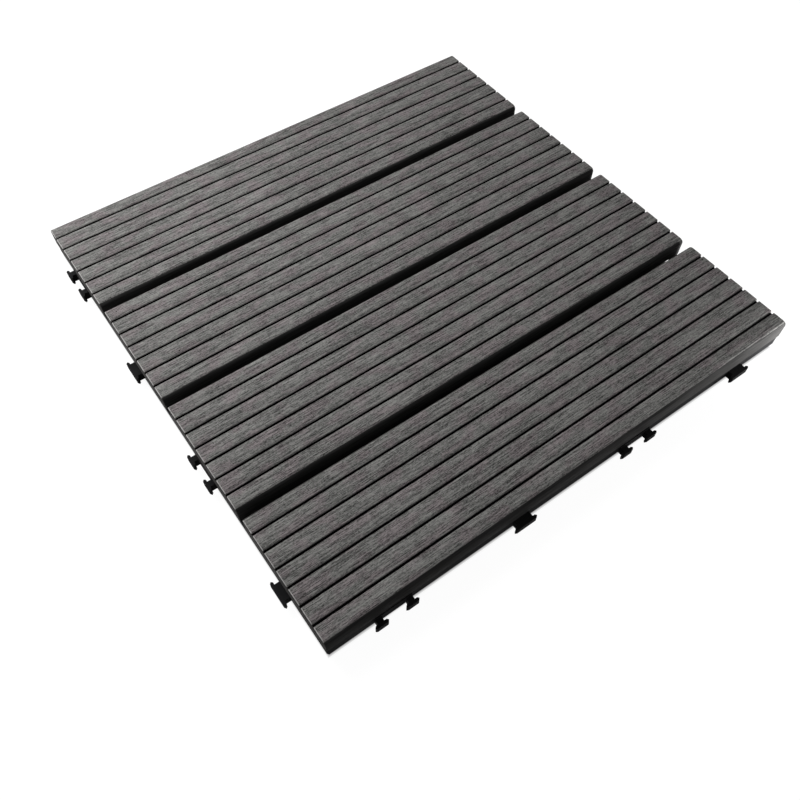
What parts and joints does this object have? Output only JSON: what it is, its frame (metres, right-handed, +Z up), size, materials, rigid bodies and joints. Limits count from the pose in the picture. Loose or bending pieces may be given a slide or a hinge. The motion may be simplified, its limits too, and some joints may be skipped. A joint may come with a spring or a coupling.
{
  "type": "interlocking deck tile",
  "caption": "Square outdoor deck tile: grooved composite slats on a moulded grid with interlocking edge tabs.",
  "frame": {"origin": "on the ground under the centre of the tile", "axes": "+Z up, X along the slats, Y across them"},
  "size_m": [0.3086, 0.3086, 0.022],
  "materials": {
    "base_plastic": "matte, moulded black polypropylene",
    "slat_composite": "matte, brushed charcoal wood-plastic composite",
    "screw_steel": "zinc-plated"
  },
  "bodies": {
    "root": {"base_grid": "base_plastic", "slat_1": "slat_composite", "slat_2": "slat_composite", "slat_3": "slat_composite", "slat_4": "slat_composite", "slat_1_screws": "screw_steel", "slat_2_screws": "screw_steel", "slat_3_screws": "screw_steel", "slat_4_screws": "screw_steel"}
  },
  "joints": []
}
